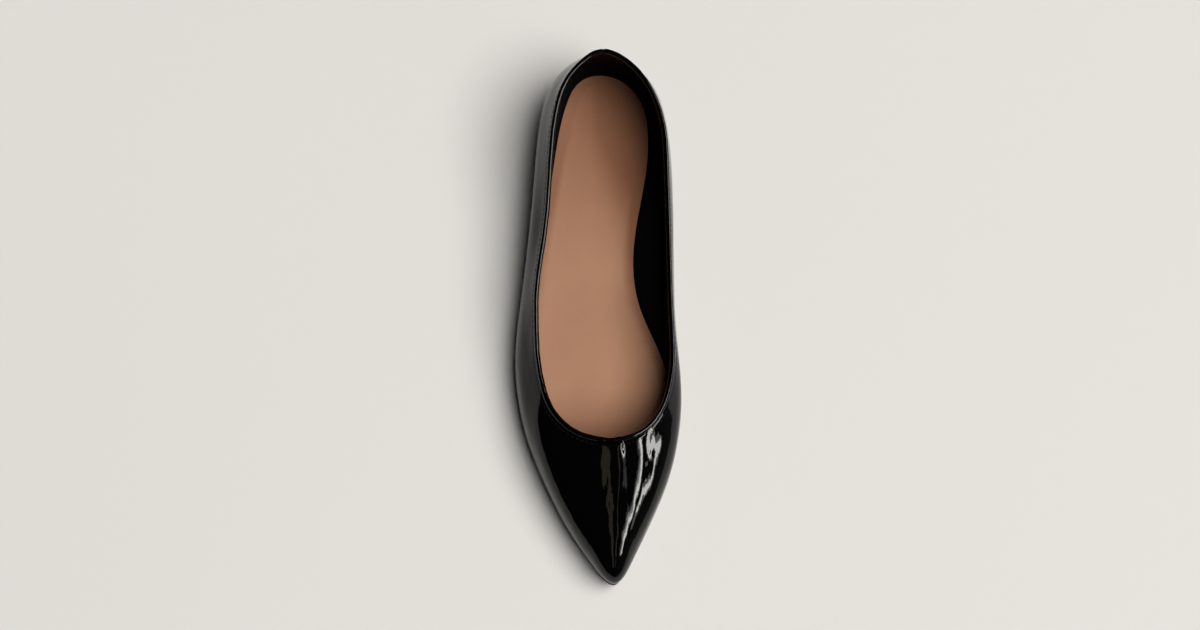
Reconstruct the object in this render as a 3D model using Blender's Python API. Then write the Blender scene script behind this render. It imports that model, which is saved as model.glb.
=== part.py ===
"""Pointed toe flat shoe for a right foot, standing empty on its sole.

The toe points along -Y, the heel along +Y and the inner side of the foot along +X.
The origin is on the floor, in the middle of the shoe. All sizes are in metres.
"""
import math
from collections import namedtuple

import bmesh
import bpy
import numpy as np

# Size of the last
LENGTH = 0.261            # from the back of the heel to the tip of the toe
BALL_WIDTH = 0.082        # across the widest line of the upper
BACK_HEIGHT = 0.058       # floor to topline at the back of the heel
INSTEP_HEIGHT = 0.0365    # floor to topline at the front of the throat

# Sole and heel
HEEL_HEIGHT = 0.0095
HEEL_LENGTH = 0.059
HEEL_INSET = 0.0006       # heel top, in from the edge of the sole
HEEL_TAPER = 0.0012       # heel base, in from the heel top
HEEL_HOLLOW = 0.0025      # depth of the curve in the front of the heel
TOE_SPRING = 0.005
TOE_CURVE = 1.8           # power of the curve that the sole rises on to the toe
SOLE_THICKNESS = 0.003
SOLE_MARGIN = 0.0008      # sole edge, out from the bottom of the upper
SOLE_ROUND = 0.0008       # rounding of the lower edge of the sole

# Upper, collar band and insole
WALL = 0.0016
BAND_DEPTH = 0.0026       # collar band, measured down the wall
BAND_WIDTH = 0.0026       # collar band, across the wall
BAND_SQUARE = 0.7         # power that makes the section of the band less round
INSOLE_THICKNESS = 0.003
INSOLE_EDGE = 0.0018      # height of the upright part of the insole edge
INSOLE_ROUND = 0.0009     # rounding of the insole edge over that part
INSOLE_DISH = 0.0009      # rise of the insole from its middle to its edge
DISH_CURVE = 4            # power of the curve of that rise
CLEARANCE = 0.0003        # between two pieces that lie on each other

# Stretches of the sole, as shares of the length from the back of the heel
SEAT_END = 0.255          # the heel seat is level up to here
TREAD_START = 0.565       # the sole touches the floor from here
TREAD_END = 0.765         # and curves up to the toe from here

# Shape of the sections
TURN_PITCH = 56.0         # degrees that the wall rises at where it leaves the sole
TURN_HANDLE = 0.45        # share of the turn from the sole to the widest line
TOP_HANDLE = 0.40         # share of the way from the widest line to the topline

# How finely the pieces are made
STEPS = 4                 # columns between two sections
LEVELS = 12               # rows of the wall, from the sole to the topline
SPAN = 6                  # strips across the sole and the insole
BAND_SIDES = 8            # faces around the collar band
FINE = 40                 # points of the fine curve that a wall is read from
END_POINTS = 3            # last points of that curve, which the band points along
FOOT_ROWS = 4             # lowest rows of the wall, which the insole edge lies against
KNOT_CURVE = 0.7          # power that evens out near and far sections
SHARP_ANGLE = 40.0        # degrees from which an edge is shaded sharp

# One row for each section of one side, from the back of the heel to the tip of the toe.
# line and top are places along the length, as shares of LENGTH, of the widest line and
# of the topline. line_out, line_in, top_out, top_in are sideways places of the outer
# and inner side of the foot, and tuck_out, tuck_in the way that the wall turns in under
# the widest line, as shares of BALL_WIDTH. rise_out and rise_in are the height of the
# widest line over the bottom of the upper, as shares of INSTEP_HEIGHT. dip is the
# height of the topline over the throat, as a share of BACK_HEIGHT - INSTEP_HEIGHT.
# pitch is the slope of the wall at the topline, in degrees over the level. full is how
# round the wall is over the widest line, as the handle of its curve.
Section = namedtuple("Section", "line line_out line_in top top_out top_in "
                     "tuck_out tuck_in rise_out rise_in dip pitch full")
SECTIONS = [
    Section(0.000, 0.000, 0.000, 0.016, 0.000, 0.000, 0.061, 0.061, 0.42, 0.42, 1.00, 84, 0.36),
    Section(0.015, 0.174, 0.183, 0.031, 0.110, 0.128, 0.085, 0.062, 0.42, 0.42, 0.98, 83, 0.36),
    Section(0.056, 0.295, 0.321, 0.073, 0.227, 0.262, 0.118, 0.070, 0.42, 0.42, 0.91, 81, 0.36),
    Section(0.126, 0.363, 0.400, 0.142, 0.293, 0.360, 0.124, 0.091, 0.41, 0.42, 0.73, 79, 0.36),
    Section(0.230, 0.395, 0.435, 0.230, 0.315, 0.390, 0.107, 0.149, 0.38, 0.44, 0.48, 77, 0.37),
    Section(0.352, 0.427, 0.444, 0.337, 0.335, 0.404, 0.076, 0.224, 0.35, 0.48, 0.22, 76, 0.38),
    Section(0.467, 0.468, 0.454, 0.441, 0.382, 0.417, 0.058, 0.193, 0.31, 0.44, 0.05, 75, 0.40),
    Section(0.567, 0.497, 0.474, 0.517, 0.385, 0.428, 0.048, 0.068, 0.27, 0.34, -0.06, 71, 0.44),
    Section(0.651, 0.478, 0.498, 0.580, 0.373, 0.433, 0.041, 0.043, 0.24, 0.26, -0.14, 63, 0.50),
    Section(0.728, 0.422, 0.480, 0.630, 0.343, 0.412, 0.038, 0.039, 0.21, 0.22, -0.17, 51, 0.56),
    Section(0.812, 0.315, 0.414, 0.679, 0.285, 0.356, 0.035, 0.035, 0.18, 0.18, -0.13, 36, 0.60),
    Section(0.904, 0.163, 0.288, 0.719, 0.157, 0.243, 0.027, 0.027, 0.15, 0.15, -0.05, 24, 0.62),
    Section(0.969, 0.022, 0.190, 0.732, 0.043, 0.138, 0.023, 0.023, 0.14, 0.14, -0.01, 18, 0.62),
    Section(0.990, -0.034, 0.151, 0.735, -0.007, 0.088, 0.021, 0.021, 0.14, 0.14, 0.00, 16, 0.62),
    Section(1.000, -0.103, 0.103, 0.736, -0.048, 0.048, 0.020, 0.020, 0.14, 0.14, 0.00, 16, 0.62),
]

PATENT_BLACK = (0.006, 0.006, 0.007)
INSOLE_TAN = (0.33, 0.17, 0.10)
SOLE_BLACK = (0.012, 0.012, 0.012)
PATENT_ROUGHNESS = 0.06
PATENT_COAT = 1.0
INSOLE_ROUGHNESS = 0.6
SOLE_ROUGHNESS = 0.5


def clear_scene():
    for item in list(bpy.data.objects):
        bpy.data.objects.remove(item, do_unlink=True)


def ease(value, start, end):
    """0 before start, 1 after end, and a smooth step between."""
    share = min(1.0, max(0.0, (value - start) / (end - start)))
    return share * share * share * (share * (6.0 * share - 15.0) + 10.0)


def sole_height(y):
    """Underside of the sole at a place along the length."""
    along = 0.5 - y / LENGTH
    heel = HEEL_HEIGHT * (1.0 - ease(along, SEAT_END, TREAD_START))
    toe = max(0.0, (along - TREAD_END) / (1.0 - TREAD_END))
    return heel + TOE_SPRING * toe ** TOE_CURVE


def sole_top(y):
    return sole_height(y) + SOLE_THICKNESS


def periodic_spline(knots, values, places):
    """Smooth closed curve through the values at the knots, read at the places."""
    count = len(values)
    gaps = np.diff(knots)
    slopes = (np.roll(values, -1, axis=0) - values) / gaps[:, None]
    matrix = np.zeros((count, count))
    right = np.zeros_like(values)
    for i in range(count):
        before = gaps[i - 1]
        after = gaps[i]
        matrix[i, i - 1] += after
        matrix[i, i] += 2.0 * (before + after)
        matrix[i, (i + 1) % count] += before
        right[i] = 3.0 * (after * slopes[i - 1] + before * slopes[i])
    tangents = np.linalg.solve(matrix, right)
    result = []
    for place in places:
        i = min(count - 1, int(np.searchsorted(knots, place, side="right")) - 1)
        gap = gaps[i]
        t = (place - knots[i]) / gap
        j = (i + 1) % count
        result.append(values[i] * (1 + 2 * t) * (1 - t) ** 2
                      + values[j] * t * t * (3 - 2 * t)
                      + tangents[i] * gap * t * (1 - t) ** 2
                      + tangents[j] * gap * t * t * (t - 1))
    return np.array(result)


def around_the_shoe():
    """Measures of every column: back, outer side, tip of the toe, inner side."""
    def measures(row, side):
        outer = side < 0
        line_x = row.line_out if outer else row.line_in
        top_x = row.top_out if outer else row.top_in
        return [side * line_x * BALL_WIDTH,
                (0.5 - row.line) * LENGTH,
                side * top_x * BALL_WIDTH,
                (0.5 - row.top) * LENGTH,
                INSTEP_HEIGHT + row.dip * (BACK_HEIGHT - INSTEP_HEIGHT),
                (row.tuck_out if outer else row.tuck_in) * BALL_WIDTH,
                (row.rise_out if outer else row.rise_in) * INSTEP_HEIGHT,
                math.radians(row.pitch),
                row.full]

    outer = [measures(row, -1) for row in SECTIONS]
    inner = [measures(row, 1) for row in reversed(SECTIONS[1:-1])]
    rows = np.array(outer + inner)
    steps = np.linalg.norm(np.roll(rows[:, :2], -1, axis=0) - rows[:, :2], axis=1)
    knots = np.concatenate([[0.0], np.cumsum(steps ** KNOT_CURVE)])
    places = [knots[i] + (knots[i + 1] - knots[i]) * k / STEPS
              for i in range(len(rows)) for k in range(STEPS)]
    return periodic_spline(knots, rows, places)


def outward(points):
    """Level outward direction at each point of a loop that runs anticlockwise from above."""
    along = np.roll(points, -1, axis=0) - np.roll(points, 1, axis=0)
    normal = np.stack([along[:, 1], -along[:, 0]], axis=1)
    return normal / np.linalg.norm(normal, axis=1)[:, None]


def bezier(a, b, c, d, count):
    t = np.linspace(0.0, 1.0, count)[:, None]
    return ((1 - t) ** 3 * a + 3 * (1 - t) ** 2 * t * b
            + 3 * (1 - t) * t * t * c + t ** 3 * d)


def wall_curve(line, line_side, top, top_side, tuck, rise, pitch, full):
    """Fine curve of one section: from the sole, out to the widest line, up to the top."""
    up = np.array([0.0, 0.0, 1.0])
    bottom = line - tuck * line_side
    bottom[2] = sole_top(bottom[1]) + CLEARANCE
    line = line.copy()
    line[2] = bottom[2] + rise
    turn = math.radians(TURN_PITCH)
    leave = math.cos(turn) * line_side + math.sin(turn) * up
    arrive = math.sin(pitch) * up - math.cos(pitch) * top_side
    turn_reach = TURN_HANDLE * math.hypot(tuck, rise)
    reach = TOP_HANDLE * np.linalg.norm(top - line)
    low = bezier(bottom, bottom + turn_reach * leave,
                 line - TURN_HANDLE * rise * up, line, FINE // 2)
    high = bezier(line, line + full * (top[2] - line[2]) * up,
                  top - reach * arrive, top, FINE)
    return np.concatenate([low, high[1:]])


def along_curve(curve, count, cut):
    """Points at even steps along a curve, which stops short of its end by the cut."""
    steps = np.linalg.norm(np.diff(curve, axis=0), axis=1)
    run = np.concatenate([[0.0], np.cumsum(steps)])
    places = np.linspace(0.0, run[-1] - cut, count)
    return np.stack([np.interp(places, run, curve[:, k]) for k in range(3)], axis=1)


def build_wall():
    """Outer and inner grid of the upper, column by row, and the band's own frame."""
    table = around_the_shoe()
    line = np.column_stack([table[:, 0], table[:, 1], np.zeros(len(table))])
    top = table[:, 2:5]
    line_side = np.column_stack([outward(table[:, 0:2]), np.zeros(len(table))])
    top_side = np.column_stack([outward(table[:, 2:4]), np.zeros(len(table))])
    outer = []
    band_up = []
    for i, row in enumerate(table):
        curve = wall_curve(line[i], line_side[i], top[i], top_side[i],
                           row[5], row[6], row[7], row[8])
        outer.append(along_curve(curve, LEVELS + 1, BAND_DEPTH + CLEARANCE))
        end = curve[-1] - curve[-1 - END_POINTS]
        band_up.append(end / np.linalg.norm(end))
    outer = np.array(outer)
    along = np.roll(outer, -1, axis=0) - np.roll(outer, 1, axis=0)
    rise = np.gradient(outer, axis=1)
    normal = np.cross(along, rise)
    normal /= np.linalg.norm(normal, axis=2)[:, :, None]
    inner = outer - WALL * normal
    inner[:, 0] = outer[:, 0] - line_side * WALL
    return outer, inner, np.array(band_up), normal[:, -1], line_side


def new_object(name, mesh, material):
    mesh.normal_update()
    data = bpy.data.meshes.new(name)
    mesh.to_mesh(data)
    mesh.free()
    for polygon in data.polygons:
        polygon.use_smooth = True
    data.set_sharp_from_angle(angle=math.radians(SHARP_ANGLE))
    data.materials.append(material)
    item = bpy.data.objects.new(name, data)
    bpy.context.scene.collection.objects.link(item)
    return item


def finish(name, color, roughness, coat=0.0):
    material = bpy.data.materials.new(name)
    material.use_nodes = True
    shader = material.node_tree.nodes["Principled BSDF"]
    shader.inputs["Base Color"].default_value = (*color, 1.0)
    shader.inputs["Roughness"].default_value = roughness
    shader.inputs["Coat Weight"].default_value = coat
    return material


def ring_body(rings):
    """Closed tube round the shoe: rings of equal length, the last joined to the first."""
    mesh = bmesh.new()
    loops = [[mesh.verts.new(point) for point in ring] for ring in rings]
    for low, high in zip(loops, loops[1:] + loops[:1]):
        for k in range(len(low)):
            j = (k + 1) % len(low)
            mesh.faces.new((low[k], low[j], high[j], high[k]))
    return mesh


def plate_body(edges, under, over):
    """Closed plate: edge rings from bottom to top, with strips across both faces.

    A column of the outer side faces one of the inner side. under and over give the
    height of a place on the lower and the upper face, from its share of the way across.
    """
    mesh = bmesh.new()
    loops = [[mesh.verts.new(point) for point in ring] for ring in edges]
    count = len(edges[0])
    half = count // 2
    for low, high in zip(loops, loops[1:]):
        for k in range(count):
            j = (k + 1) % count
            mesh.faces.new((low[k], low[j], high[j], high[k]))
    for loop, height, turn in ((loops[0], under, 1), (loops[-1], over, -1)):
        rows = [[loop[0]] * (SPAN + 1)]
        for k in range(1, half):
            a = loop[k]
            b = loop[count - k]
            row = [a]
            for step in range(1, SPAN):
                share = step / SPAN
                place = a.co.lerp(b.co, share)
                place.z = height(place.y, share)
                row.append(mesh.verts.new(place))
            rows.append(row + [b])
        rows.append([loop[half]] * (SPAN + 1))
        for near, far in zip(rows, rows[1:]):
            for step in range(SPAN):
                corners = [near[step], near[step + 1], far[step + 1], far[step]]
                mesh.faces.new(list(dict.fromkeys(corners))[::turn])
    return mesh


def make_upper(outer, inner, patent):
    rings = [outer[:, k] for k in range(LEVELS + 1)]
    rings += [inner[:, k] for k in range(LEVELS, -1, -1)]
    return new_object("upper", ring_body(rings), patent)


def make_band(outer, band_up, normal, patent):
    """Folded band round the collar, a rounded strip over the top edge of the upper."""
    middle = outer[:, -1] - normal * WALL / 2.0
    middle = middle + band_up * (CLEARANCE + BAND_DEPTH / 2.0)
    rings = []
    for k in range(BAND_SIDES):
        angle = 2.0 * math.pi * (k + 0.5) / BAND_SIDES
        across = math.copysign(abs(math.cos(angle)) ** BAND_SQUARE, math.cos(angle))
        along = math.copysign(abs(math.sin(angle)) ** BAND_SQUARE, math.sin(angle))
        reach = math.cos(math.pi / BAND_SIDES) ** BAND_SQUARE
        rings.append(middle + normal * (BAND_WIDTH / 2.0 * across / reach)
                     + band_up * (BAND_DEPTH / 2.0 * along / reach))
    return new_object("topline_binding", ring_body(rings), patent)


def level_ring(points, shift, side, height):
    """Loop moved outward by the shift, at the height of each place."""
    ring = points + side * shift
    ring[:, 2] = [height(point[1]) for point in ring]
    return ring


def make_outsole(outer, side, rubber):
    edge = outer[:, 0]
    rings = [level_ring(edge, SOLE_MARGIN - SOLE_ROUND, side, sole_height),
             level_ring(edge, SOLE_MARGIN, side, lambda y: sole_height(y) + SOLE_ROUND),
             level_ring(edge, SOLE_MARGIN, side, sole_top)]
    mesh = plate_body(rings, lambda y, share: sole_height(y), lambda y, share: sole_top(y))
    return new_object("outsole", mesh, rubber)


def make_insole(inner, side, sock):
    """Padded sock: its edge follows the inside of the wall, a clearance away."""
    def wall_at(rise):
        ring = []
        for column in inner:
            height = sole_top(column[0][1]) + CLEARANCE + rise
            foot = column[:FOOT_ROWS]
            ring.append([np.interp(height, foot[:, 2], foot[:, k]) for k in range(2)]
                        + [height])
        return np.array(ring) - side * CLEARANCE / math.sin(math.radians(TURN_PITCH))

    bottom = wall_at(0.0)
    middle = wall_at(INSOLE_EDGE)
    top = wall_at(INSOLE_THICKNESS + INSOLE_DISH) - side * INSOLE_ROUND

    def under(y, share):
        return sole_top(y) + CLEARANCE

    def over(y, share):
        edge = (2.0 * share - 1.0) ** DISH_CURVE
        return sole_top(y) + CLEARANCE + INSOLE_THICKNESS + INSOLE_DISH * edge

    return new_object("insole", plate_body([bottom, middle, top], under, over), sock)


def make_heel(outer, side, rubber):
    """Low block under the heel seat, with a hollow front."""
    edge = outer[:, 0] + side * (SOLE_MARGIN - SOLE_ROUND)
    front = LENGTH / 2.0 - HEEL_LENGTH

    def outline(inset, height):
        ring = edge - side * inset
        half = len(ring) // 2
        outer_side = [p for p in ring[:half] if p[1] > front]
        inner_side = [p for p in ring[half:] if p[1] > front]
        start = cross(ring[len(outer_side) - 1], ring[len(outer_side)])
        last = len(ring) - len(inner_side)
        end = cross(ring[last], ring[last - 1])
        hollow = []
        for k in range(SPAN + 1):
            share = k / SPAN
            point = start + (end - start) * share
            point[1] += HEEL_HOLLOW * math.sin(math.pi * share)
            hollow.append(point)
        points = outer_side + hollow + inner_side
        return [(p[0], p[1], height) for p in points]

    def cross(a, b):
        share = (a[1] - front) / (a[1] - b[1])
        return a + (b - a) * share

    levels = [(HEEL_INSET + HEEL_TAPER + SOLE_ROUND, 0.0),
              (HEEL_INSET + HEEL_TAPER, SOLE_ROUND),
              (HEEL_INSET, HEEL_HEIGHT - CLEARANCE)]
    mesh = bmesh.new()
    loops = [[mesh.verts.new(p) for p in outline(*level)] for level in levels]
    for low, high in zip(loops, loops[1:]):
        for k in range(len(low)):
            j = (k + 1) % len(low)
            mesh.faces.new((low[k], low[j], high[j], high[k]))
    mesh.faces.new(loops[0][::-1])
    mesh.faces.new(loops[-1])
    return new_object("heel", mesh, rubber)


def main():
    clear_scene()
    patent = finish("patent_black", PATENT_BLACK, PATENT_ROUGHNESS, PATENT_COAT)
    sock = finish("insole_tan", INSOLE_TAN, INSOLE_ROUGHNESS)
    rubber = finish("sole_black", SOLE_BLACK, SOLE_ROUGHNESS)
    outer, inner, band_up, normal, side = build_wall()
    make_upper(outer, inner, patent)
    make_band(outer, band_up, normal, patent)
    make_insole(inner, side, sock)
    make_outsole(outer, side, rubber)
    make_heel(outer, side, rubber)


main()
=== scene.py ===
"""Looks of the pointed toe flat: glossy black upper, folded collar band, tan insole, sole
and heel, on a pale floor in soft studio light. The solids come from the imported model."""
import math

import bmesh
import bpy
from bpy.props import FloatProperty, FloatVectorProperty, IntProperty, PointerProperty
from mathutils import Matrix, Vector
from mathutils.bvhtree import BVHTree


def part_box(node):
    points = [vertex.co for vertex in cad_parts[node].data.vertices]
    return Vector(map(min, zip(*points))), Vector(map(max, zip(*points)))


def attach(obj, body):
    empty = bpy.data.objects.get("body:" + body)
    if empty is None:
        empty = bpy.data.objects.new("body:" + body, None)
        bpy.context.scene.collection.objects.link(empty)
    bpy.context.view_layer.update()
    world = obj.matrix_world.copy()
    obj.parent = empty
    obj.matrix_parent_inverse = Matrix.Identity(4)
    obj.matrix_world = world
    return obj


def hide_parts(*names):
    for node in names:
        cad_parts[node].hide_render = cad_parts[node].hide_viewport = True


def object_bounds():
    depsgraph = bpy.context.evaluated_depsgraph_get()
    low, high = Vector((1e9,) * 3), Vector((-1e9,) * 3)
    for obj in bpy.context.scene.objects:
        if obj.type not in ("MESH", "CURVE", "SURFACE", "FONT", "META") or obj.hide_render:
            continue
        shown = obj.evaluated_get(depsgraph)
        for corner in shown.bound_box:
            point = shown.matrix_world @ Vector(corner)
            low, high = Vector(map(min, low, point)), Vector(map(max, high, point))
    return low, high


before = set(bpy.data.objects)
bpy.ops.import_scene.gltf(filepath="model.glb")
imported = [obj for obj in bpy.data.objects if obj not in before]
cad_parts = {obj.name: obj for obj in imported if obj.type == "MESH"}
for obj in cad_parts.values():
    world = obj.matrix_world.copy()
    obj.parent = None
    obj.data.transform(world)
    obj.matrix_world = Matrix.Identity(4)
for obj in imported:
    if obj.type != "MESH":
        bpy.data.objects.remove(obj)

bl_info = {
    "name": "Pointed toe flat",
    "version": (1, 0, 0),
    "blender": (4, 5, 0),
    "location": "3D View > Sidebar > Flat shoe",
    "description": "Upper, collar band, insole, sole and heel of a glossy flat, and its stage",
    "category": "Object",
}

# Corners of the box round the solids, and of the one round the insole.
CAD_BOX = [list(corner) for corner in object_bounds()]
INSOLE_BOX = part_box("insole")
MM = 0.001

# Angles in degrees: an edge that turns more than the first is a real one and keeps its
# corner, the next is the same for the softer insole, and the last is the limit of smooth
# shading.
SHARP_EDGE = 50.0
INSOLE_EDGE = 60.0
SHADED_SMOOTH = 40.0

# The middle of the shoe that its wall stands round: how far it stays from both ends of the
# insole, its shift to the inner side among the toes, and its greatest height in the front
# half.
END_MARGIN = 22 * MM
TOES_START = -80 * MM
TOES_SHIFT = 3 * MM
FRONT_LEVEL = 12 * MM

# The collar lies above the first, and its points are put in order round the second.
COLLAR_LOWEST = 25 * MM
COLLAR_MIDDLE = 30 * MM

# Soft forms of the vamp, each a long ridge (+) or trough (-) pressed into the patent skin.
# start and end are places on the floor plan in mm, width is its half width, height its rise.
VAMP_FORMS = [
    # start          end            width  height
    ((22.0, -64.0), (15.0, -108.0), 5.0, 0.16),
    ((14.0, -57.0), (12.0, -112.0), 4.0, -0.14),
    ((28.0, -50.0), (25.0, -73.0), 4.0, -0.16),
    ((3.0, -70.0), (7.0, -116.0), 4.5, 0.12),
    ((-6.0, -68.0), (4.0, -112.0), 4.0, -0.10),
    ((-16.0, -62.0), (-3.0, -104.0), 6.0, 0.10),
]

# A form wanders this far to the side, in mm, on a wave of so many radians along its length.
FORM_WANDER = 0.7
FORM_WAVE = 9.0

# Small dents near the inner end of the throat: place in mm, half width, depth in mm.
VAMP_DENTS = [
    ((24.8, -68.0), 1.5, 0.10),
    ((26.4, -71.5), 1.2, 0.08),
    ((23.4, -73.5), 1.6, 0.09),
]

# Groove of the seam that closes the upper at the back, in mm: half width, depth and the
# place along the shoe behind which it runs. Then the half width of the fine line in the
# shading, and its place to the side.
BACK_SEAM_WIDTH = 1.6
BACK_SEAM_DEPTH = 0.22
BACK_SEAM_START = 100.0
SEAM_LINE_WIDTH = 1.0 / 2.6
SEAM_LINE_SIDE = -0.3

# Hollows pressed into the insole by heel and ball of the foot: place on the floor plan and
# radius in mm, and depth as a share of the padding's sink.
FOOT_HOLLOWS = [
    ((0.5, 88.0), 34.0, 1.0),
    ((-4.0, -42.0), 40.0, 0.7),
]

# A corner of the insole lies on its top if its normal points up by more than the first, and
# on its side if it points up or down by less than the second. The side is looked up in rows
# across the shoe, and the painted shade of the rim ends at its width.
TOP_FACES_UP = 0.5
SIDE_FACES_UP = 0.6
RIM_ROW = 2 * MM
RIM_WIDTH = 5 * MM

# How far a stitch stands out of the wall, as a share of the thread's width.
STITCH_RISE = 0.12


class ShoeMake(bpy.types.PropertyGroup):
    """Sizes of what is sewn, pressed and rounded on the solids."""

    merge_gap: FloatProperty(
        name="Merge gap", description="Corners of the solids nearer than this become one",
        default=0.00001, unit="LENGTH")
    smooth_levels: IntProperty(
        name="Smooth levels",
        description="Subdivisions of the upper and the insole, and one less for the band",
        default=2, min=1, max=3)
    edge_bevel: FloatProperty(
        name="Edge bevel", description="Rounding of the edges of the sole and the heel",
        default=0.00035, unit="LENGTH")
    stitch_length: FloatProperty(
        name="Stitch length", description="One stitch under the collar band",
        default=0.0019, unit="LENGTH")
    stitch_gap: FloatProperty(
        name="Stitch gap", description="From one stitch to the next",
        default=0.0006, unit="LENGTH")
    stitch_drop: FloatProperty(
        name="Stitch drop", description="From the top of the wall down to the stitches",
        default=0.0011, unit="LENGTH")
    thread: FloatProperty(
        name="Thread", description="Width of the sewing thread",
        default=0.00026, unit="LENGTH")
    band_pucker: FloatProperty(
        name="Band pucker", description="Unevenness of the folded collar band",
        default=0.00008, unit="LENGTH")
    tuck: FloatProperty(
        name="Tuck", description="Length of wall that is held inside the collar band",
        default=0.0008, unit="LENGTH")
    padding: FloatProperty(
        name="Padding", description="Sink of the sock under heel and ball",
        default=0.00045, unit="LENGTH")


class ShoeFinish(bpy.types.PropertyGroup):
    """Colours and gloss of the shoe."""

    patent: FloatVectorProperty(
        name="Patent", description="Colour of the glossy upper", subtype="COLOR",
        default=(0.0009, 0.0008, 0.0010))
    lining: FloatVectorProperty(
        name="Lining", description="Colour of the inside of the upper", subtype="COLOR",
        default=(0.0028, 0.0026, 0.0028))
    sock: FloatVectorProperty(
        name="Insole", description="Colour of the insole", subtype="COLOR",
        default=(0.45, 0.238, 0.143))
    sole: FloatVectorProperty(
        name="Sole", description="Colour of sole and heel", subtype="COLOR",
        default=(0.012, 0.011, 0.011))
    thread: FloatVectorProperty(
        name="Thread", description="Colour of the stitches", subtype="COLOR",
        default=(0.004, 0.004, 0.004))
    gloss: FloatProperty(
        name="Patent roughness", description="Roughness of the patent skin",
        default=0.035, min=0.0, max=1.0)


class ShoeStudio(bpy.types.PropertyGroup):
    """Camera, daylight and floor."""

    distance: FloatProperty(
        name="Camera distance", description="From the camera to the shoe",
        default=1.4, unit="LENGTH")
    lean_side: FloatProperty(
        name="Side lean", description="Camera away from straight above, to the outer side",
        default=math.radians(3.8), subtype="ANGLE")
    lean_toe: FloatProperty(
        name="Toe lean", description="Camera away from straight above, to the toe",
        default=math.radians(11.2), subtype="ANGLE")
    lens: FloatProperty(
        name="Lens", description="Focal length in mm", default=86.0, min=10.0)
    film: FloatProperty(
        name="Film", description="Width of the camera's film in mm", default=36.0, min=1.0)
    daylight: FloatProperty(
        name="Daylight", description="Strength of the even light", default=2.7, min=0.0)
    daylight_spread: FloatProperty(
        name="Daylight spread", description="Width of the even light in the sky",
        default=math.radians(50.0), subtype="ANGLE")
    floor: FloatVectorProperty(
        name="Floor", description="Colour of the floor", subtype="COLOR",
        default=(0.80, 0.788, 0.766))
    floor_size: FloatProperty(
        name="Floor size", description="Side of the floor", default=12.0, unit="LENGTH")


class Value:
    """A shader socket that takes part in plain arithmetic."""

    def __init__(self, nodes, socket):
        self.nodes = nodes
        self.socket = socket

    def _with(self, operation, *values):
        return self.nodes.node("Math", {"operation": operation}, dict(enumerate(values)))

    def __add__(self, other):
        return self._with("ADD", self, other)

    def __sub__(self, other):
        return self._with("SUBTRACT", self, other)

    def __rsub__(self, other):
        return self._with("SUBTRACT", other, self)

    def __mul__(self, other):
        return self._with("MULTIPLY", self, other)

    def __abs__(self):
        return self._with("ABSOLUTE", self)

    def less(self, other):
        """1 where this value is less than the other, 0 elsewhere."""
        return self._with("LESS_THAN", self, other)

    def capped(self):
        """The value held between 0 and 1."""
        return self._with("MINIMUM", self._with("MAXIMUM", self, 0.0), 1.0)

    def ramp(self, start, length):
        """0 up to the start, rising to 1 over the length, backwards if that is negative."""
        return ((self - start) * (1.0 / length)).capped()


class Nodes:
    """A node tree with one way to add any node."""

    def __init__(self, tree):
        self.tree = tree

    def node(self, kind, settings=None, sockets=None, out=0):
        """A node of that kind, with its settings set first, then its sockets' values."""
        node = self.tree.nodes.new("ShaderNode" + kind)
        for name, value in (settings or {}).items():
            setattr(node, name, value)
        for name, value in (sockets or {}).items():
            socket = node.inputs[name]
            if isinstance(value, Value):
                self.tree.links.new(value.socket, socket)
            else:
                socket.default_value = value
        return Value(self, node.outputs[out])

    def axes(self, place):
        """The x, y and z of a place."""
        node = self.node("SeparateXYZ", None, {0: place}).socket.node
        return [Value(self, node.outputs[k]) for k in range(3)]


class Finish(Nodes):
    """A material under construction."""

    def __init__(self, name, color, roughness, **constants):
        self.material = bpy.data.materials.new(name)
        self.material.use_nodes = True
        super().__init__(self.material.node_tree)
        self.shader = self.tree.nodes["Principled BSDF"]
        self.shader.inputs["Base Color"].default_value = (*color, 1.0)
        self.shader.inputs["Roughness"].default_value = roughness
        for socket, value in constants.items():
            self.shader.inputs[socket.replace("_", " ")].default_value = value

    def into(self, name, value):
        """Feeds the shader's named socket."""
        self.tree.links.new(value.socket, self.shader.inputs[name])

    def place(self):
        """Place on the piece, in its own axes."""
        return self.node("TexCoord", out="Object")

    def noise(self, place, scale, stretch=(1.0, 1.0, 1.0), detail=2.0, rough=0.5):
        """Cloudy pattern of that many waves to the metre, stretched along its axes."""
        at = self.node("Mapping", None, {"Vector": place, "Scale": stretch})
        return self.node("TexNoise", None, {"Vector": at, "Scale": scale, "Detail": detail,
                                            "Roughness": rough})

    def bump(self, height, distance, under=None):
        """Normal of a relief of that depth in metres, on top of the one under it."""
        sockets = {"Height": height, "Distance": distance, "Strength": 1.0}
        if under:
            sockets["Normal"] = under
        return self.node("Bump", None, sockets)

    def blend(self, factor, first, second):
        """Colour between the first, at factor 0, and the second, at factor 1."""
        first, second = [v if isinstance(v, Value) else (*v, 1.0) for v in (first, second)]
        return self.node("Mix", {"data_type": "RGBA"}, {0: factor, 6: first, 7: second}, out=2)


def scaled(color, share):
    """The colour with all of its parts times one share."""
    return [part * share for part in color]


def tinted(color, shares):
    """The colour with its red, green and blue each times a share of its own."""
    return [part * share for part, share in zip(color, shares)]


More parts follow.
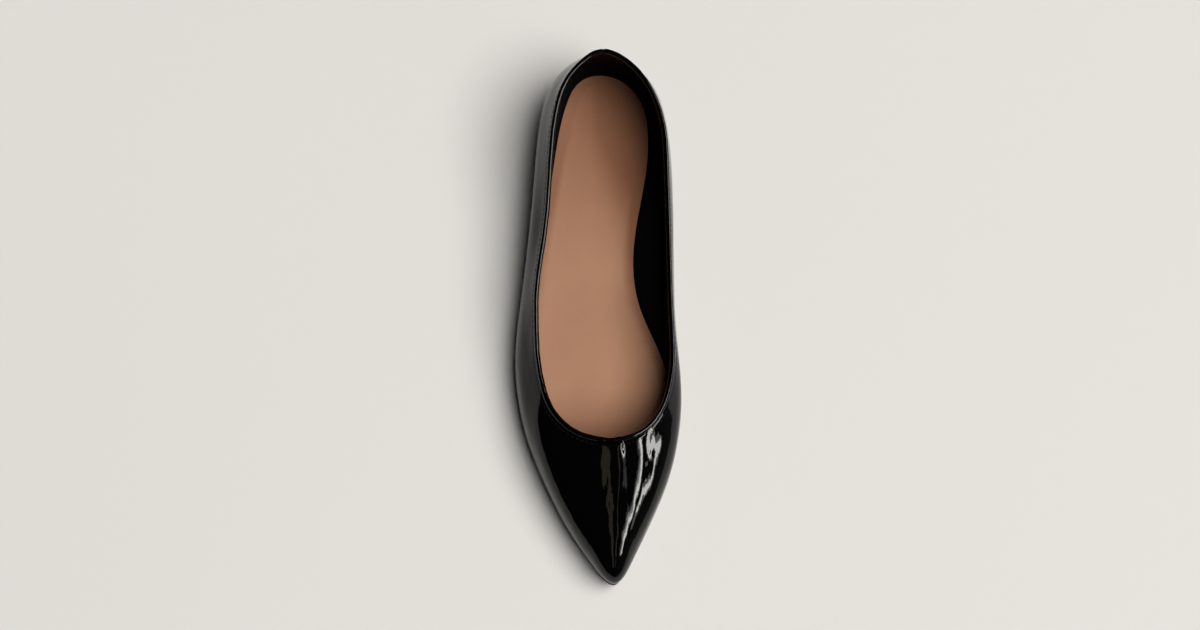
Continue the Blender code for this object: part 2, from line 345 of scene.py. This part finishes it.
def patent_finish(finish):
    """Black patent: deep gloss, long soft unevenness, a faint orange peel, the seam line."""
    skin = Finish("patent_skin", finish.patent, finish.gloss, IOR=1.38)
    place = skin.place()
    long_waves = skin.noise(place, scale=125.0, stretch=(1.0, 0.33, 1.0), detail=1.5)
    peel = skin.noise(place, scale=420.0, stretch=(1.0, 0.55, 1.0))
    smudge = skin.noise(place, scale=45.0, stretch=(1.0, 0.6, 1.0), detail=4.0)
    x, y, _ = skin.axes(place)
    beside_seam = abs(x - SEAM_LINE_SIDE * MM).ramp(0.0, SEAM_LINE_WIDTH * MM)
    seam = (beside_seam + y.less(BACK_SEAM_START * MM)).capped()
    normal = skin.bump(long_waves, 0.36 * MM)
    normal = skin.bump(peel, 0.03 * MM, under=normal)
    normal = skin.bump(seam, 0.3 * MM, under=normal)
    skin.into("Normal", normal)
    uneven = 0.03
    skin.into("Roughness", smudge * uneven + (finish.gloss - uneven / 2.0))
    skin.into("Base Color", skin.blend(smudge, finish.patent, scaled(finish.patent, 1.5)))
    return skin.material


def lining_finish(finish):
    """Smooth black lining leather with a very fine grain."""
    skin = Finish("lining_leather", finish.lining, 0.55, Specular_IOR_Level=0.06)
    place = skin.place()
    grain = skin.noise(place, scale=900.0, detail=3.0)
    cloud = skin.noise(place, scale=60.0, stretch=(1.0, 0.5, 1.0), detail=3.0)
    skin.into("Normal", skin.bump(grain, 0.06 * MM))
    skin.into("Roughness", cloud * 0.16 + 0.46)
    skin.into("Base Color", skin.blend(cloud, finish.lining, scaled(finish.lining, 1.7)))
    return skin.material


def sock_finish(finish):
    """Tan insole cover: fine grain, soft mottling, and painted shade darkening it at rim, heel
    and throat.
    """
    skin = Finish("insole_cover", finish.sock, 0.6, Specular_IOR_Level=0.35)
    place = skin.place()
    pores = skin.node("TexVoronoi", {"feature": "F1"}, {"Vector": place, "Scale": 1500.0})
    grain = skin.noise(place, scale=700.0, detail=4.0)
    mottle = skin.noise(place, scale=38.0, stretch=(1.0, 0.7, 1.0), detail=4.0, rough=0.55)
    rim = skin.node("Attribute", {"attribute_name": "rim"}, out="Fac")
    skin.into("Normal", skin.bump(grain * 0.6 + pores * 0.4, 0.09 * MM))
    tone = skin.blend(mottle, tinted(finish.sock, (0.80, 0.76, 0.74)),
                      tinted(finish.sock, (1.06, 1.05, 1.04)))
    # The colour that the painted shade darkens the cover to.
    deep = tinted(finish.sock, (0.55, 0.45, 0.40))
    x, y, _ = skin.axes(place)
    # Painted shade kept in the colour. The rim stands for the shade beside the walls. The heel
    # ramp and its inner part stand for the shadow of the heel's back and inner wall. The
    # throat ramp stands for the shadow under the vamp.
    heel = y.ramp(25.0 * MM, 71.4 * MM)
    inner = x.ramp(-4.0 * MM, 20.0 * MM)
    throat = y.ramp(-32.0 * MM, -33.3 * MM)
    painted_shade = (rim * 0.85 + heel * 0.85 + heel * inner * 0.75 + throat * 1.15).capped()
    skin.into("Base Color", skin.blend(painted_shade, tone, deep))
    skin.into("Roughness", mottle * 0.14 + 0.52)
    return skin.material


def sole_finish(finish):
    """Matt black sole unit with a fine moulded grain."""
    skin = Finish("sole_moulded", finish.sole, 0.5)
    place = skin.place()
    grain = skin.noise(place, scale=1100.0, detail=3.0)
    cloud = skin.noise(place, scale=70.0, detail=3.0)
    skin.into("Normal", skin.bump(grain, 0.08 * MM))
    skin.into("Roughness", cloud * 0.2 + 0.38)
    skin.into("Base Color", skin.blend(cloud, finish.sole, scaled(finish.sole, 1.6)))
    return skin.material


def thread_finish(finish):
    """Black sewing thread with its twist."""
    skin = Finish("sewing_thread", finish.thread, 0.75, Specular_IOR_Level=0.3)
    place = skin.place()
    twist = skin.node("TexWave", None, {"Vector": place, "Scale": 900.0, "Distortion": 2.0})
    skin.into("Normal", skin.bump(twist, 0.05 * MM))
    skin.into("Base Color", skin.blend(twist, finish.thread, scaled(finish.thread, 2.0)))
    return skin.material


def material(name, recipe):
    """The named material, made the first time that it is asked for."""
    return bpy.data.materials.get(name) or recipe(bpy.context.scene.shoe_finish)


def start_piece(node, name, make):
    """A copy of a solid's mesh, merged and turned back into quads, alone selected."""
    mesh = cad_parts[node].data.copy()
    mesh.name = name
    mesh.materials.clear()
    piece = bpy.data.objects.new(name, mesh)
    bpy.context.scene.collection.objects.link(piece)
    select_only(piece)
    bpy.ops.object.mode_set(mode="EDIT")
    bpy.ops.mesh.select_all(action="SELECT")
    bpy.ops.mesh.remove_doubles(threshold=make.merge_gap)
    bpy.ops.mesh.tris_convert_to_quads(face_threshold=math.radians(100),
                                       shape_threshold=math.radians(180),
                                       topology_influence=1.5)
    bpy.ops.object.mode_set(mode="OBJECT")
    return piece


def select_only(piece):
    """The piece alone selected, and active."""
    bpy.ops.object.select_all(action="DESELECT")
    piece.select_set(True)
    bpy.context.view_layer.objects.active = piece


def crease_corners(piece, angle, amount):
    """Keeps the edges that turn more than the angle from being rounded away."""
    bpy.ops.object.mode_set(mode="EDIT")
    bpy.ops.mesh.select_mode(type="EDGE")
    bpy.ops.mesh.select_all(action="DESELECT")
    bpy.ops.mesh.edges_select_sharp(sharpness=math.radians(angle))
    bpy.ops.transform.edge_crease(value=amount)
    bpy.ops.object.mode_set(mode="OBJECT")


def apply_modifier(piece, kind, **settings):
    """Adds a modifier with its settings and applies it."""
    select_only(piece)
    modifier = piece.modifiers.new(kind.lower(), kind)
    for name, value in settings.items():
        setattr(modifier, name, value)
    bpy.ops.object.modifier_apply(modifier=modifier.name)


def smooth(piece, levels):
    """Subdivides the piece, if there is a level to do."""
    if levels:
        apply_modifier(piece, "SUBSURF", levels=levels, render_levels=levels)


def finish_piece(piece, slot, *nodes):
    """Shading, body and the solids that the piece stands for; the slot is not used."""
    select_only(piece)
    bpy.ops.object.shade_smooth_by_angle(angle=math.radians(SHADED_SMOOTH))
    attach(piece, "root")
    if nodes:
        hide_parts(*nodes)


def inside_point(place):
    """A point of the room for the foot that the wall at the place stands round."""
    low, high = INSOLE_BOX
    x = TOES_SHIFT if place.y < TOES_START else 0.0
    y = min(max(place.y, low.y + END_MARGIN), high.y - END_MARGIN)
    z = min(place.z, FRONT_LEVEL) if place.y < 0.0 else place.z
    return Vector((x, y, z))


def hump(distance, width):
    """1 on the line and 0 a width away, with soft shoulders."""
    share = min(1.0, distance / width)
    return (1.0 - share * share) ** 2


def seam_groove(spot):
    """Depth of the back seam's groove in mm, at a place on the floor plan in mm."""
    if spot.y <= BACK_SEAM_START:
        return 0.0
    return BACK_SEAM_DEPTH * hump(abs(spot.x), BACK_SEAM_WIDTH)


def vamp_form(spot, start, end, width, height):
    """Rise in mm of one form of the vamp, which swells to its middle and wanders a little."""
    start, end = Vector(start), Vector(end)
    along = end - start
    share = (spot - start).dot(along) / along.length_squared
    share = min(1.0, max(0.0, share))
    swell = math.sin(math.pi * (share * 0.9 + 0.05))
    wander = FORM_WANDER * math.sin(share * FORM_WAVE + start.x)
    across = (spot - start - along * share).length
    return height * swell * hump(abs(across - wander), width)


def skin_relief(place):
    """Rise of the upper's skin in metres: forms and dents of the vamp, and the back seam."""
    spot = place.xy / MM
    rise = -seam_groove(spot)
    for form in VAMP_FORMS:
        rise += vamp_form(spot, *form)
    for dent, width, depth in VAMP_DENTS:
        rise -= depth * hump((spot - Vector(dent)).length, width)
    return rise * MM


def pucker(spot):
    """Two crossing waves between -1 and 1, which make the fold of the band uneven."""
    x, y = spot
    return (math.sin(y * 1.3 + x * 0.7) + math.sin(y * 0.47 - x * 0.9)) / 2.0


class SHOE_OT_upper(bpy.types.Operator):
    """Patent shell with its lining, its pressed forms and the closed back seam"""
    bl_idname = "shoe.upper"
    bl_label = "Upper"

    def execute(self, context):
        make = context.scene.shoe_make
        piece = start_piece("upper", "upper_shell", make)
        tuck_into_band(piece, make.tuck)
        crease_corners(piece, SHARP_EDGE, amount=0.9)
        smooth(piece, make.smooth_levels)
        mesh = piece.data
        mesh.materials.append(material("patent_skin", patent_finish))
        mesh.materials.append(material("lining_leather", lining_finish))
        inner = set()
        for face in mesh.polygons:
            out = face.center - inside_point(face.center)
            if face.normal.dot(out) < 0.0:
                face.material_index = 1
                inner.update(face.vertices)
        normals = [v.normal.copy() for v in mesh.vertices]
        for corner in mesh.vertices:
            rise = skin_relief(corner.co)
            corner.co += normals[corner.index] * (-rise if corner.index in inner else rise)
        finish_piece(piece, "patent_black", "upper")
        return {"FINISHED"}


class SHOE_OT_band(bpy.types.Operator):
    """Folded band that edges the collar, slightly uneven where it is turned over"""
    bl_idname = "shoe.band"
    bl_label = "Collar band"

    def execute(self, context):
        make = context.scene.shoe_make
        piece = start_piece("topline_binding", "collar_band", make)
        smooth(piece, make.smooth_levels - 1)
        mesh = piece.data
        normals = [v.normal.copy() for v in mesh.vertices]
        for corner in mesh.vertices:
            spot = corner.co.xy / MM
            rise = make.band_pucker * pucker(spot) - seam_groove(spot) * MM
            corner.co += normals[corner.index] * rise
        mesh.materials.append(material("patent_skin", patent_finish))
        finish_piece(piece, "patent_black", "topline_binding")
        return {"FINISHED"}


def top_corners(mesh):
    """Corners of the upper's top edge, each with the way down its wall."""
    for corner in mesh.verts:
        sharp = [e for e in corner.link_edges if len(e.link_faces) == 2
                 and e.calc_face_angle() > math.radians(SHARP_EDGE)]
        if corner.co.z > COLLAR_LOWEST and len(sharp) == 2:
            others = [e.other_vert(corner) for e in corner.link_edges if e not in sharp]
            lower = min(others, key=lambda v: v.co.z)
            yield corner, (lower.co - corner.co).normalized()


def tuck_into_band(piece, reach):
    """Lengthens the wall so that its top edge is held inside the collar band."""
    mesh = bmesh.new()
    mesh.from_mesh(piece.data)
    mesh.normal_update()
    for corner, down in list(top_corners(mesh)):
        corner.co -= down * reach
    mesh.to_mesh(piece.data)
    mesh.free()


def collar_edge(make):
    """Places along the top of the outer wall with the way down the wall, in order."""
    guide = start_piece("upper", "guide", make)
    mesh = bmesh.new()
    mesh.from_mesh(guide.data)
    mesh.normal_update()
    edge = [(corner.co.copy(), down) for corner, down in top_corners(mesh)
            if corner.normal.dot(corner.co - inside_point(corner.co)) > 0.0]
    mesh.free()
    bpy.data.objects.remove(guide, do_unlink=True)
    edge.sort(key=lambda item: math.atan2(item[0].y - COLLAR_MIDDLE, item[0].x))
    return edge


def steps_along(edge, pitch):
    """Even steps round the collar: place, way down the wall and way along the collar."""
    legs = [(here, there, (there[0] - here[0]).length)
            for here, there in zip(edge, edge[1:] + edge[:1])]
    whole = sum(length for _, _, length in legs)
    count = int(whole / pitch)
    walked, leg = 0.0, 0
    for k in range(count):
        want = whole * k / count
        while walked + legs[leg][2] < want:
            walked += legs[leg][2]
            leg += 1
        here, there, length = legs[leg]
        share = (want - walked) / length
        yield (here[0].lerp(there[0], share), here[1].lerp(there[1], share).normalized(),
               (there[0] - here[0]).normalized())


class SHOE_OT_stitches(bpy.types.Operator):
    """Row of small stitches along the collar, just under the band"""
    bl_idname = "shoe.stitches"
    bl_label = "Collar stitches"

    def execute(self, context):
        make = context.scene.shoe_make
        edge = collar_edge(make)
        wall = BVHTree.FromObject(bpy.data.objects["upper_shell"],
                                  context.evaluated_depsgraph_get())
        bpy.ops.object.select_all(action="DESELECT")
        bpy.ops.mesh.primitive_uv_sphere_add(segments=8, ring_count=5, radius=0.5)
        stitch = context.object
        size = Matrix.Diagonal((make.thread, make.stitch_length, make.thread, 1.0))
        copies = []
        for top, down, along in steps_along(edge, make.stitch_length + make.stitch_gap):
            spot, out, _, _ = wall.find_nearest(top + down * make.stitch_drop)
            out = (out - along * out.dot(along)).normalized()
            turn = Matrix((out.cross(along), along, out)).transposed().to_4x4()
            rise = Matrix.Translation(spot + out * make.thread * STITCH_RISE)
            copy = bpy.data.objects.new("stitch", stitch.data.copy())
            copy.data.transform(rise @ turn @ size)
            context.scene.collection.objects.link(copy)
            copies.append(copy)
        bpy.data.objects.remove(stitch, do_unlink=True)
        bpy.ops.object.select_all(action="DESELECT")
        for copy in copies:
            copy.select_set(True)
        context.view_layer.objects.active = copies[0]
        bpy.ops.object.join()
        row = context.object
        row.name = "collar_stitches"
        row.data.name = "collar_stitches"
        row.data.materials.clear()
        row.data.materials.append(material("sewing_thread", thread_finish))
        finish_piece(row, "patent_black")
        return {"FINISHED"}


def mark_rim(mesh):
    """Stores for the painted shade how near each corner lies to the side: 1 at it, 0 inside.
    """
    rows = {}
    for corner in mesh.vertices:
        if abs(corner.normal.z) < SIDE_FACES_UP:
            rows.setdefault(round(corner.co.y / RIM_ROW), []).append(corner.co.x)
    rim = mesh.attributes.new("rim", "FLOAT", "POINT")
    for corner in mesh.vertices:
        sides = rows.get(round(corner.co.y / RIM_ROW))
        near = min(abs(corner.co.x - x) for x in sides) if sides else 0.0
        rim.data[corner.index].value = 1.0 - min(1.0, near / RIM_WIDTH)


class SHOE_OT_insole(bpy.types.Operator):
    """Padded tan insole cover, pressed in a little under heel and ball"""
    bl_idname = "shoe.insole"
    bl_label = "Insole"

    def execute(self, context):
        make = context.scene.shoe_make
        piece = start_piece("insole", "insole_sock", make)
        crease_corners(piece, INSOLE_EDGE, amount=0.6)
        smooth(piece, make.smooth_levels)
        mesh = piece.data
        normals = [v.normal.copy() for v in mesh.vertices]
        for corner in mesh.vertices:
            if normals[corner.index].z >= TOP_FACES_UP:
                spot = corner.co.xy / MM
                corner.co.z -= make.padding * max(
                    depth * hump((spot - Vector(place)).length, radius)
                    for place, radius, depth in FOOT_HOLLOWS)
        mark_rim(mesh)
        mesh.materials.append(material("insole_cover", sock_finish))
        finish_piece(piece, "insole_tan", "insole")
        return {"FINISHED"}


def moulded_piece(node, name, make):
    """A piece of the sole, with its edges rounded a little and its moulded grain."""
    piece = start_piece(node, name, make)
    apply_modifier(piece, "BEVEL", width=make.edge_bevel, segments=2,
                   limit_method="ANGLE", angle_limit=math.radians(SHARP_EDGE))
    piece.data.materials.append(material("sole_moulded", sole_finish))
    finish_piece(piece, "sole_black", node)


class SHOE_OT_sole(bpy.types.Operator):
    """Thin full-length sole with softened edges"""
    bl_idname = "shoe.sole"
    bl_label = "Sole"

    def execute(self, context):
        moulded_piece("outsole", "sole_unit", context.scene.shoe_make)
        return {"FINISHED"}


class SHOE_OT_heel(bpy.types.Operator):
    """Low heel block with a hollow front and softened edges"""
    bl_idname = "shoe.heel"
    bl_label = "Heel"

    def execute(self, context):
        moulded_piece("heel", "heel_block", context.scene.shoe_make)
        return {"FINISHED"}


def floor_finish(studio):
    """Pale matt floor with a broad, faint cloudiness."""
    floor = Finish("studio_floor", studio.floor, 0.6, Specular_IOR_Level=0.2)
    place = floor.place()
    cloud = floor.noise(place, scale=1.5)
    floor.into("Base Color", floor.blend(cloud, scaled(studio.floor, 0.97),
                                         scaled(studio.floor, 1.02)))
    return floor.material


# Strength of the sky: its band at the horizon, its glow to the inner side, and overhead.
# The band is full up to a height, as the height of a direction, and ends at the next.
SKY_HORIZON = 0.7
SKY_GLOW = 0.10
SKY_OVERHEAD = 0.002
BAND_FULL = 0.02
BAND_END = 0.07


def studio_sky():
    """Dark overhead, pale at the horizon, a little brighter to the inner side."""
    world = bpy.data.worlds.new("studio_sky")
    world.use_nodes = True
    bpy.context.scene.world = world
    sky = Nodes(world.node_tree)
    x, _, z = sky.axes(sky.node("TexCoord", out="Generated"))
    horizon = 1.0 - abs(z).ramp(BAND_FULL, BAND_END - BAND_FULL)
    glow = (x * SKY_GLOW).capped() * (1.0 - abs(z)).capped()
    strength = horizon * SKY_HORIZON + glow + SKY_OVERHEAD
    background = sky.tree.nodes["Background"]
    background.inputs["Color"].default_value = (1.0, 0.99, 0.97, 1.0)
    sky.tree.links.new(strength.socket, background.inputs["Strength"])


WHITE = (1.0, 0.985, 0.955)
WARM = (1.0, 0.86, 0.62)

# Where the even daylight comes from, and what every lamp is aimed at, in metres.
DAYLIGHT_FROM = (0.82, -0.10, 1.95)
LAMP_AIM = (0.0, 0.0, 0.02)

# Lamps: place in metres, size across and along, brightness of the pane, whether it is one
# that the gloss shows or one that lights the matt surfaces, and its tint.
STUDIO_LAMPS = [
    # name            place                size         glow  shown  tint
    ("soft_fill", (0.90, -0.10, 1.80), (1.5, 1.5), 1.15, False, WHITE),
    ("window_high", (1.07, -0.15, 1.38), (0.12, 1.7), 14.0, True, WHITE),
    ("window_soft", (1.05, -0.15, 1.42), (0.25, 1.8), 5.0, True, WHITE),
    ("window_glow", (1.03, -0.15, 1.46), (0.40, 1.9), 0.9, True, WHITE),
    ("window_low", (1.37, -0.26, 1.05), (0.13, 0.70), 15.0, True, WHITE),
    ("window_haze", (1.40, -0.24, 1.06), (0.26, 0.85), 2.5, True, WHITE),
    ("ceiling_warm", (0.07, -1.10, 1.75), (0.22, 1.5), 0.6, True, WARM),
    ("ceiling_thin", (0.52, -1.00, 1.70), (0.10, 1.5), 0.6, True, WARM),
]


def facing(back):
    """Turn of a lamp or camera that looks against the way back, its top towards +Y."""
    back = back.normalized()
    across = Vector((0.0, 1.0, 0.0)).cross(back).normalized()
    return Matrix((across, back.cross(across), back)).transposed().to_4x4()


def add_daylight(studio):
    """Even light from a wide part of the sky, which the gloss doesn't show."""
    data = bpy.data.lights.new("daylight", "SUN")
    data.energy = studio.daylight
    data.angle = studio.daylight_spread
    data.color = WHITE
    sun = bpy.data.objects.new("daylight", data)
    sun.visible_glossy = False
    sun.matrix_world = facing(Vector(DAYLIGHT_FROM))
    bpy.context.scene.collection.objects.link(sun)


def add_lamp(name, place, size, glow, shown, tint):
    """A pane of light that the gloss shows, or one that lights the matt surfaces."""
    data = bpy.data.lights.new(name, "AREA")
    data.shape = "RECTANGLE"
    data.size, data.size_y = size
    data.energy = glow * math.pi * size[0] * size[1]
    data.color = tint
    lamp = bpy.data.objects.new(name, data)
    lamp.visible_glossy = shown
    lamp.visible_diffuse = not shown
    turn = facing(Vector(place) - Vector(LAMP_AIM))
    lamp.matrix_world = Matrix.Translation(place) @ turn
    bpy.context.scene.collection.objects.link(lamp)


def add_camera(studio):
    """Camera over the middle of the shoe, leaning to the outer side and to the toe."""
    data = bpy.data.cameras.new("camera")
    data.sensor_width = studio.film
    data.lens = studio.lens
    data.clip_start = 0.05
    data.clip_end = 30.0
    camera = bpy.data.objects.new("camera", data)
    back = Vector((-math.tan(studio.lean_side), -math.tan(studio.lean_toe), 1.0))
    back.normalize()
    low, high = (Vector(corner) for corner in CAD_BOX)
    middle = (low + high) / 2.0
    camera.matrix_world = Matrix.Translation(middle + back * studio.distance) @ facing(back)
    bpy.context.scene.collection.objects.link(camera)
    bpy.context.scene.camera = camera


class SHOE_OT_stage(bpy.types.Operator):
    """Pale floor, soft studio lights and the camera"""
    bl_idname = "shoe.stage"
    bl_label = "Stage"

    def execute(self, context):
        studio = context.scene.shoe_studio
        bpy.ops.object.select_all(action="DESELECT")
        bpy.ops.mesh.primitive_grid_add(x_subdivisions=8, y_subdivisions=8,
                                        size=studio.floor_size)
        floor = context.object
        floor.name = "studio_floor"
        floor.data.materials.append(floor_finish(studio))
        studio_sky()
        add_daylight(studio)
        for lamp in STUDIO_LAMPS:
            add_lamp(*lamp)
        add_camera(studio)
        context.scene.view_settings.view_transform = "Standard"
        return {"FINISHED"}


class SHOE_PT_panel(bpy.types.Panel):
    """Everything of the shoe and its stage in the sidebar"""
    bl_idname = "SHOE_PT_panel"
    bl_label = "Flat shoe"
    bl_space_type = "VIEW_3D"
    bl_region_type = "UI"
    bl_category = "Flat shoe"

    def draw(self, context):
        scene = context.scene
        for title, group in (("Make", scene.shoe_make), ("Finish", scene.shoe_finish),
                             ("Studio", scene.shoe_studio)):
            box = self.layout.box()
            box.label(text=title)
            for name in group.__annotations__:
                box.prop(group, name)
        for operator in OPERATORS:
            self.layout.operator(operator.bl_idname)


OPERATORS = [SHOE_OT_upper, SHOE_OT_band, SHOE_OT_stitches, SHOE_OT_insole, SHOE_OT_sole,
             SHOE_OT_heel, SHOE_OT_stage]
GROUPS = [("shoe_make", ShoeMake), ("shoe_finish", ShoeFinish), ("shoe_studio", ShoeStudio)]


def register():
    for name, group in GROUPS:
        bpy.utils.register_class(group)
        setattr(bpy.types.Scene, name, PointerProperty(type=group))
    for item in OPERATORS + [SHOE_PT_panel]:
        bpy.utils.register_class(item)


def unregister():
    for item in reversed(OPERATORS + [SHOE_PT_panel]):
        bpy.utils.unregister_class(item)
    for name, group in reversed(GROUPS):
        delattr(bpy.types.Scene, name)
        bpy.utils.unregister_class(group)


def main():
    register()
    bpy.ops.shoe.upper()
    bpy.ops.shoe.band()
    bpy.ops.shoe.stitches()
    bpy.ops.shoe.insole()
    bpy.ops.shoe.sole()
    bpy.ops.shoe.heel()
    bpy.ops.shoe.stage()


if __name__ == "__main__":
    main()
